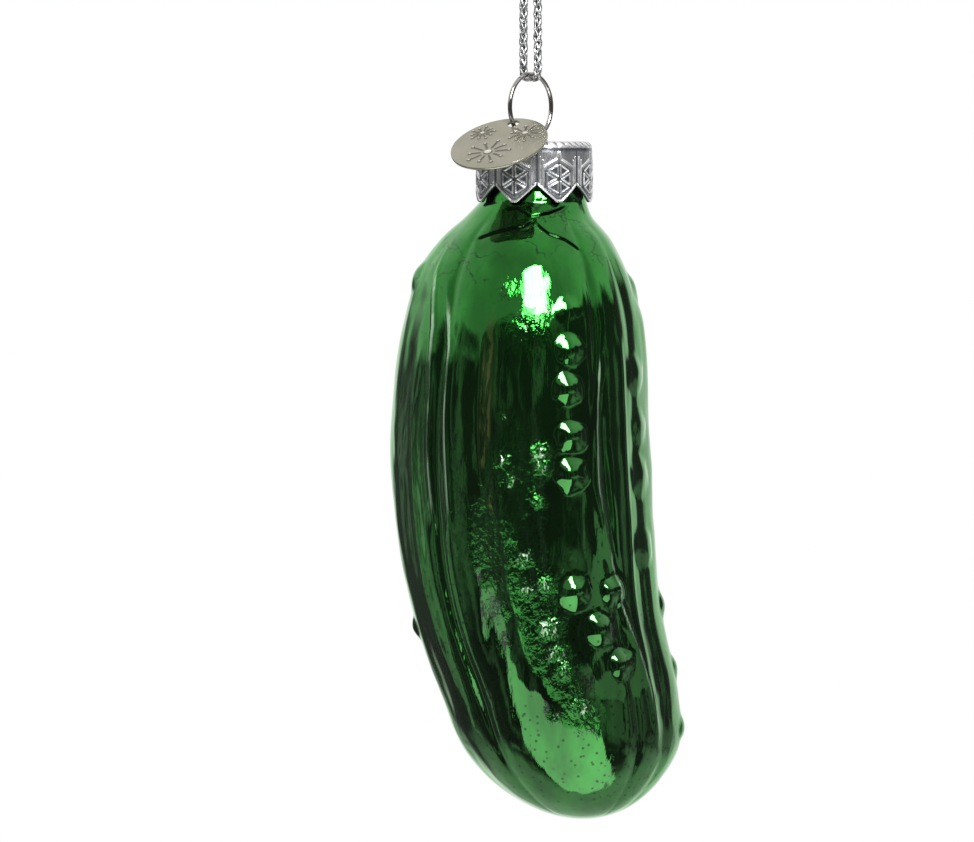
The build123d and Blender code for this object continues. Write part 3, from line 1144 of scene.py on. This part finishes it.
def mirrored_glass():
    material, tree, shader = new_material("mirrored_green_glass", {
        "Metallic": 1.0,
        "Coat Roughness": 0.01,
        "Coat IOR": 1.38,
        "Specular Tint": (0.62, 0.95, 0.62, 1),
        "Sheen Weight": 0.035,
        "Sheen Roughness": 0.5,
    })
    vector = in_mm(tree)
    drawn = in_mm(tree, (1, 1, 6))
    height = node(tree, "ShaderNodeSeparateXYZ", {"Vector": vector}).outputs["Z"]
    sparkle = stored(tree, "sparkle")

    # Painted light in the lacquer: an olive streak of painted reflection in blots, painted shade along the
    # creases, and painted highlights on the crests and in specks
    blots = ranged(tree, noise_value(tree, drawn, 0.4, 5, 0.65, 0.6), 0.46, 0.60)
    olive = times(tree, blots, stored(tree, "olive"))
    crack = ranged(tree, stored(tree, "crack"), 0.4, 0.75)
    # Painted highlights: pale lines along the crests, and pale glint specks in the crumpled clumps
    breaks = ranged(tree, noise_value(tree, drawn, 0.5, 3), 0.36, 0.5, 0.3, 1.0)
    crest = times(tree, ranged(tree, stored(tree, "crest"), 0.45, 0.85), breaks)
    specks = ranged(tree, noise_value(tree, in_mm(tree, (1, 1, 1.8)), 1.7, 2, 0.5, 0.4), 0.555, 0.615)
    bare = maths(tree, "MAXIMUM", crest, times(tree, specks, ranged(tree, sparkle, 0.9, 1.9)))

    # Colour and gloss
    # Painted reflection: the olive streak
    colour = mixed(tree, olive, lacquer(tree, vector, drawn, height), (0.09, 0.115, 0.03))
    colour = mixed(tree, hairlines(tree, vector, height), colour, dark_green)
    # Painted shade: near-black along the creases
    colour = mixed(tree, crack, colour, (0.003, 0.012, 0.003))
    haze = ranged(tree, noise_value(tree, vector, 0.5, 5, 0.65), 0.45, 0.75, 0.01, 0.07)
    dull = times(tree, maths(tree, "MAXIMUM", olive, bare), 0.4)

    # Relief too fine for the mesh: crumpled silvering in patches, and drawn-out streaks
    crumple = noise_value(tree, in_mm(tree, (1, 1, 1.5)), 1.3, 3, 0.55, 0.3)
    patches = ranged(tree, noise_value(tree, in_mm(tree, (1, 1, 2)), 0.2, 3), 0.40, 0.55, 0.35, 1.0)
    crumple = times(tree, crumple, sparkle, patches, 3.6)
    streaks = times(tree, noise_value(tree, drawn, 0.55, 4, 0.55), 0.5)

    fill(tree, shader, {
        # Painted highlights and glints: pale green on the crests and specks
        "Base Color": mixed(tree, bare, colour, (0.46, 0.70, 0.46)),
        # The coat is taken off along the creases, as part of the painted shade
        "Coat Weight": ranged(tree, crack, 0.0, 1.0, 0.8, 0.0),
        "Roughness": maths(tree, "ADD", haze, dull),
        "Normal": bump(tree, maths(tree, "ADD", crumple, streaks), 0.1),
    })
    return material


def worn_aluminium():
    material, tree, shader, smudges = bare_metal(
        "worn_aluminium", metallic=0.85, stretch=(1, 1, 3),
        scuff_scale=3.0, smudge_scale=0.5, gloss=(0.22, 0.42), dent=0.03,
    )
    # Painted shade and light: recesses dark blue-grey, raised lines, rim and top pale grey, varied a little
    # by smudges
    raised = ranged(tree, stored(tree, "relief"), 0.02, 0.6)
    worn = times(tree, raised, ranged(tree, smudges, 0.3, 0.6, 0.8, 1.0))
    fill(tree, shader, {"Base Color": mixed(tree, worn, (0.14, 0.15, 0.172), (0.72, 0.728, 0.72))})
    return material


def satin_nickel():
    material, tree, shader, smudges = bare_metal(
        "satin_nickel", metallic=0.75, stretch=(1, 4, 1),
        scuff_scale=5.0, smudge_scale=0.35, gloss=(0.16, 0.26), dent=0.008,
    )
    plain = mixed(tree, ranged(tree, smudges, 0.3, 0.7), (0.30, 0.288, 0.222), (0.345, 0.33, 0.26))
    # Painted shade on the flanks of the stamped stars, and a painted highlight on their raised tops
    relief = stored(tree, "relief")
    shaded = mixed(tree, ranged(tree, relief, 0.1, 0.5), plain, (0.12, 0.112, 0.09))
    raised = ranged(tree, relief, 0.72, 0.95)
    fill(tree, shader, {"Base Color": mixed(tree, raised, shaded, (0.66, 0.64, 0.56))})
    return material


def spring_steel():
    material, tree, shader, smudges = bare_metal(
        "spring_steel", metallic=1.0, stretch=(1, 1, 1),
        scuff_scale=4.0, smudge_scale=0.6, gloss=(0.06, 0.18), dent=0.008,
    )
    tone = ranged(tree, smudges, 0.35, 0.65)
    fill(tree, shader, {"Base Color": mixed(tree, tone, (0.27, 0.255, 0.23), (0.48, 0.465, 0.44))})
    return material


def silver_thread():
    material, tree, shader = new_material("silver_thread", {"Metallic": 1.0})
    vector = in_mm(tree)
    flakes = ranged(tree, noise_value(tree, vector, 1.5, 4, 0.7), 0.38, 0.62)
    tinted = mixed(tree, flakes, (0.16, 0.165, 0.17), (0.82, 0.83, 0.82))
    # Painted shade: the core between the threads is near-black
    depth = ranged(tree, stored(tree, "strand"), 0.0, 0.1)
    fill(tree, shader, {
        "Base Color": mixed(tree, depth, (0.05, 0.05, 0.052), tinted),
        "Roughness": ranged(tree, flakes, 0.0, 1.0, 0.42, 0.2),
        "Normal": bump(tree, noise_value(tree, vector, 4.0, 3, 0.6), 0.08),
    })
    return material


for piece, material in (
    (mirrored_pickle, mirrored_glass()),
    (stamped_cap, worn_aluminium()),
    (stamped_tag, satin_nickel()),
    (wire_hanger, spring_steel()),
    (silver_cord, silver_thread()),
):
    piece.data.materials.clear()
    piece.data.materials.append(material)


# Stage: a pale floor well below the ornament

floor_drop = 450
floor_r = 1500
floor_sides = 96
floor_glow = 0.2


def make_floor():
    deselect_all()
    bpy.ops.mesh.primitive_circle_add(
        vertices=floor_sides, radius=floor_r * mm, fill_type="NGON", location=(0, 0, -floor_drop * mm)
    )
    floor = bpy.context.object
    floor.name = "pale_floor"
    material, tree, shader = new_material("pale_floor", {
        "Roughness": 0.9,
        "Emission Color": (*white, 1),
        "Emission Strength": floor_glow,
    })
    tone = ranged(tree, noise_value(tree, in_mm(tree), 0.01, 2), 0.3, 0.7)
    fill(tree, shader, {"Base Color": mixed(tree, tone, (0.88, 0.88, 0.88), (0.92, 0.92, 0.92))})
    floor.data.materials.append(material)
    floor.visible_glossy = False


make_floor()


# Light: a white room with a dark side behind the camera, two soft boxes and two lit cards

room_centre = Vector((0, 0, -75))
box_distance = 600
box_glow = 26
card_tone = 0.1
table_card_glow = 1.7
table_card_z = -310
table_card_outline = ((-400, -740), (-330, -540), (306, -500), (90, 10), (0, 0), (-304, -306), (-540, -600))
side_card_glow = 0.42
side_card_ends = Vector((127, -235, 0)), Vector((257, -50, 0))
# The side card's outline: shares of the way between its ends, and heights
side_card_outline = (
    (0.05, -154), (0.2, -153), (0.33, -148), (0.42, -151), (0.5, -141), (0.62, -145), (0.8, -127),
    (0.95, -116), (1.0, -104), (0.86, -100), (0.8, -82), (0.7, -76), (0.62, -104), (0.5, -103),
    (0.42, -109), (0.3, -114), (0.2, -128), (0.12, -124), (0.02, -137),
)


def make_world():
    """The room, by direction: x to the right of the view, y away from the camera and z up."""
    world = bpy.data.worlds.new("white_room")
    bpy.context.scene.world = world
    world.use_nodes = True
    tree = world.node_tree
    way = node(tree, "ShaderNodeTexCoord", {}).outputs["Generated"]
    x, y, z = node(tree, "ShaderNodeSeparateXYZ", {"Vector": way}).outputs
    wobble = noise_value(tree, way, 2.2)
    wander = ranged(tree, wobble, 0.2, 0.8, -0.09, 0.09)
    away = maths(tree, "ADD", y, times(tree, x, 0.18), wander)
    up = maths(tree, "ADD", z, times(tree, x, -0.09), wander)

    # The wall behind the ornament, the ceiling, the floor at the back and a pale corner at the right
    behind = ranged(tree, away, 0.68, 0.82)
    over = maths(tree, "ADD", up, ranged(tree, y, -0.1, 0.6, 0.0, 0.13))
    shade = times(tree, ranged(tree, y, -0.75, -0.1, 0.5, 1.0), ranged(tree, up, 0.7, 0.97, 1.0, 0.75))
    above = times(tree, ranged(tree, over, 0.27, 0.38), shade)
    below = times(tree, ranged(tree, up, -0.35, -0.6), ranged(tree, y, -0.2, 0.05, 0.0, 0.68))
    corner = times(tree, ranged(tree, up, -0.13, -0.2), ranged(tree, up, -0.46, -0.38))
    corner = times(tree, corner, ranged(tree, x, 0.4, 0.5, 0.0, 0.3), ranged(tree, wobble, 0.4, 0.5))

    # Upright bars of light at the sides
    upright = node(tree, "ShaderNodeMapping", {"Vector": way, "Scale": (5.0, 5.0, 0.7)})
    bars = noise_value(tree, upright.outputs["Vector"], 1.0, 4)
    sides = times(tree, ranged(tree, y, -0.6, 0.2, 0.3, 0.7), ranged(tree, bars, 0.48, 0.68))

    bright = maths(tree, "MAXIMUM", behind, above, below, corner, sides)
    room = mixed(tree, bright, (0.05, 0.05, 0.05), white)
    camera_ray = node(tree, "ShaderNodeLightPath", {}).outputs["Is Camera Ray"]
    fill(tree, tree.nodes["Background"], {"Color": mixed(tree, camera_ray, room, white)})


def soft_box(name, azimuth, elevation, width, height):
    """A lit panel that faces the ornament; azimuth is from the front towards the right."""
    turn, lift = radians(azimuth), radians(elevation)
    out = Vector((sin(turn) * cos(lift), -cos(turn) * cos(lift), sin(lift)))
    data = bpy.data.lights.new(name, "AREA")
    data.shape = "RECTANGLE"
    data.size = width * mm
    data.size_y = height * mm
    data.energy = box_glow * pi * data.size * data.size_y
    panel = placed(name, data)
    panel.location = (room_centre + out * box_distance) * mm
    panel.rotation_euler = (-out).to_track_quat("-Z", "Y").to_euler()
    panel.visible_camera = False


def make_card(name, corners, glow):
    """A lit sheet with its corners at places in mm, which the camera sees only in reflections."""
    mesh = bpy.data.meshes.new(name)
    mesh.from_pydata([Vector(corner) * mm for corner in corners], [], [range(len(corners))])
    card = placed(name, mesh)
    card.visible_camera = False
    material, _, _ = new_material(name, {
        "Base Color": (card_tone, card_tone, card_tone, 1),
        "Emission Color": (*white, 1),
        "Emission Strength": glow,
    })
    mesh.materials.append(material)


make_world()
soft_box("key_box", azimuth=10.6, elevation=38.5, width=168, height=223)
soft_box("key_strip", azimuth=22.3, elevation=35.3, width=96, height=250)
make_card("table_card", [(x, y, table_card_z) for x, y in table_card_outline], table_card_glow)
side_card_corners = [
    side_card_ends[0].lerp(side_card_ends[1], share) + Vector((0, 0, z)) for share, z in side_card_outline
]
make_card("side_card", side_card_corners, side_card_glow)
bpy.context.scene.view_settings.view_transform = "Standard"
